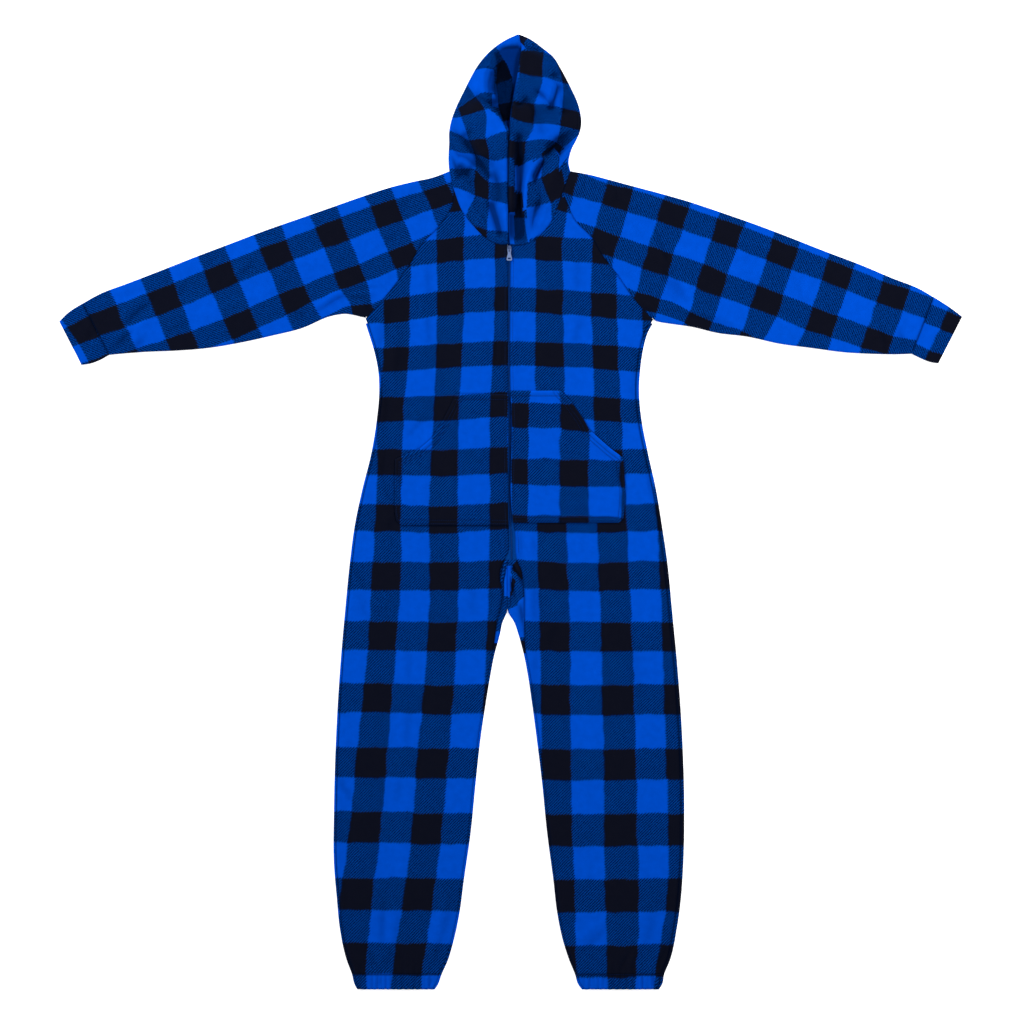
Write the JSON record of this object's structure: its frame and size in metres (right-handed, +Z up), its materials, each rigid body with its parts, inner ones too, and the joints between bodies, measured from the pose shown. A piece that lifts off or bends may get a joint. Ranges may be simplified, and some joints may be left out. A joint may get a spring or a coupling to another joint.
{
  "type": "onesie pajama",
  "caption": "Hooded one-piece fleece pajama in a two-tone buffalo check, laid out flat on its back, with raglan sleeves, a front zip, split patch pockets and elastic ankles.",
  "frame": {"origin": "middle of the footprint, on the surface the garment lies on", "axes": "+Z up out of the garment's front, +Y from the feet to the hood, +X toward the right of the picture, which is the wearer's left"},
  "size_m": [1.6999, 1.7988, 0.0122],
  "materials": {
    "fleece_check": "brushed fleece printed in a royal blue and black buffalo check",
    "zip_tape_cloth": "woven polyester tape",
    "zip_coil": "nylon coil",
    "zip_metal": "satin nickel plate"
  },
  "bodies": {
    "garment": {"back_left": "fleece_check", "back_right": "fleece_check", "front_left": "fleece_check", "front_right": "fleece_check", "sleeve_left": "fleece_check", "sleeve_right": "fleece_check", "cuff_left": "fleece_check", "cuff_right": "fleece_check", "hood_left": "fleece_check", "hood_right": "fleece_check", "pocket_left": "fleece_check", "pocket_right": "fleece_check", "zip_tape": "zip_tape_cloth", "zip_chain": "zip_coil", "zip_slider": "zip_metal"},
    "pull": {"zip_pull": "zip_metal"}
  },
  "joints": [
    {"name": "pull_hinge", "type": "hinge", "parent": "garment", "child": "pull", "pos_m": [-0.0027, 0.4936, 0.01], "axis": [-1, 0, 0], "range_deg": [0, 135]}
  ]
}
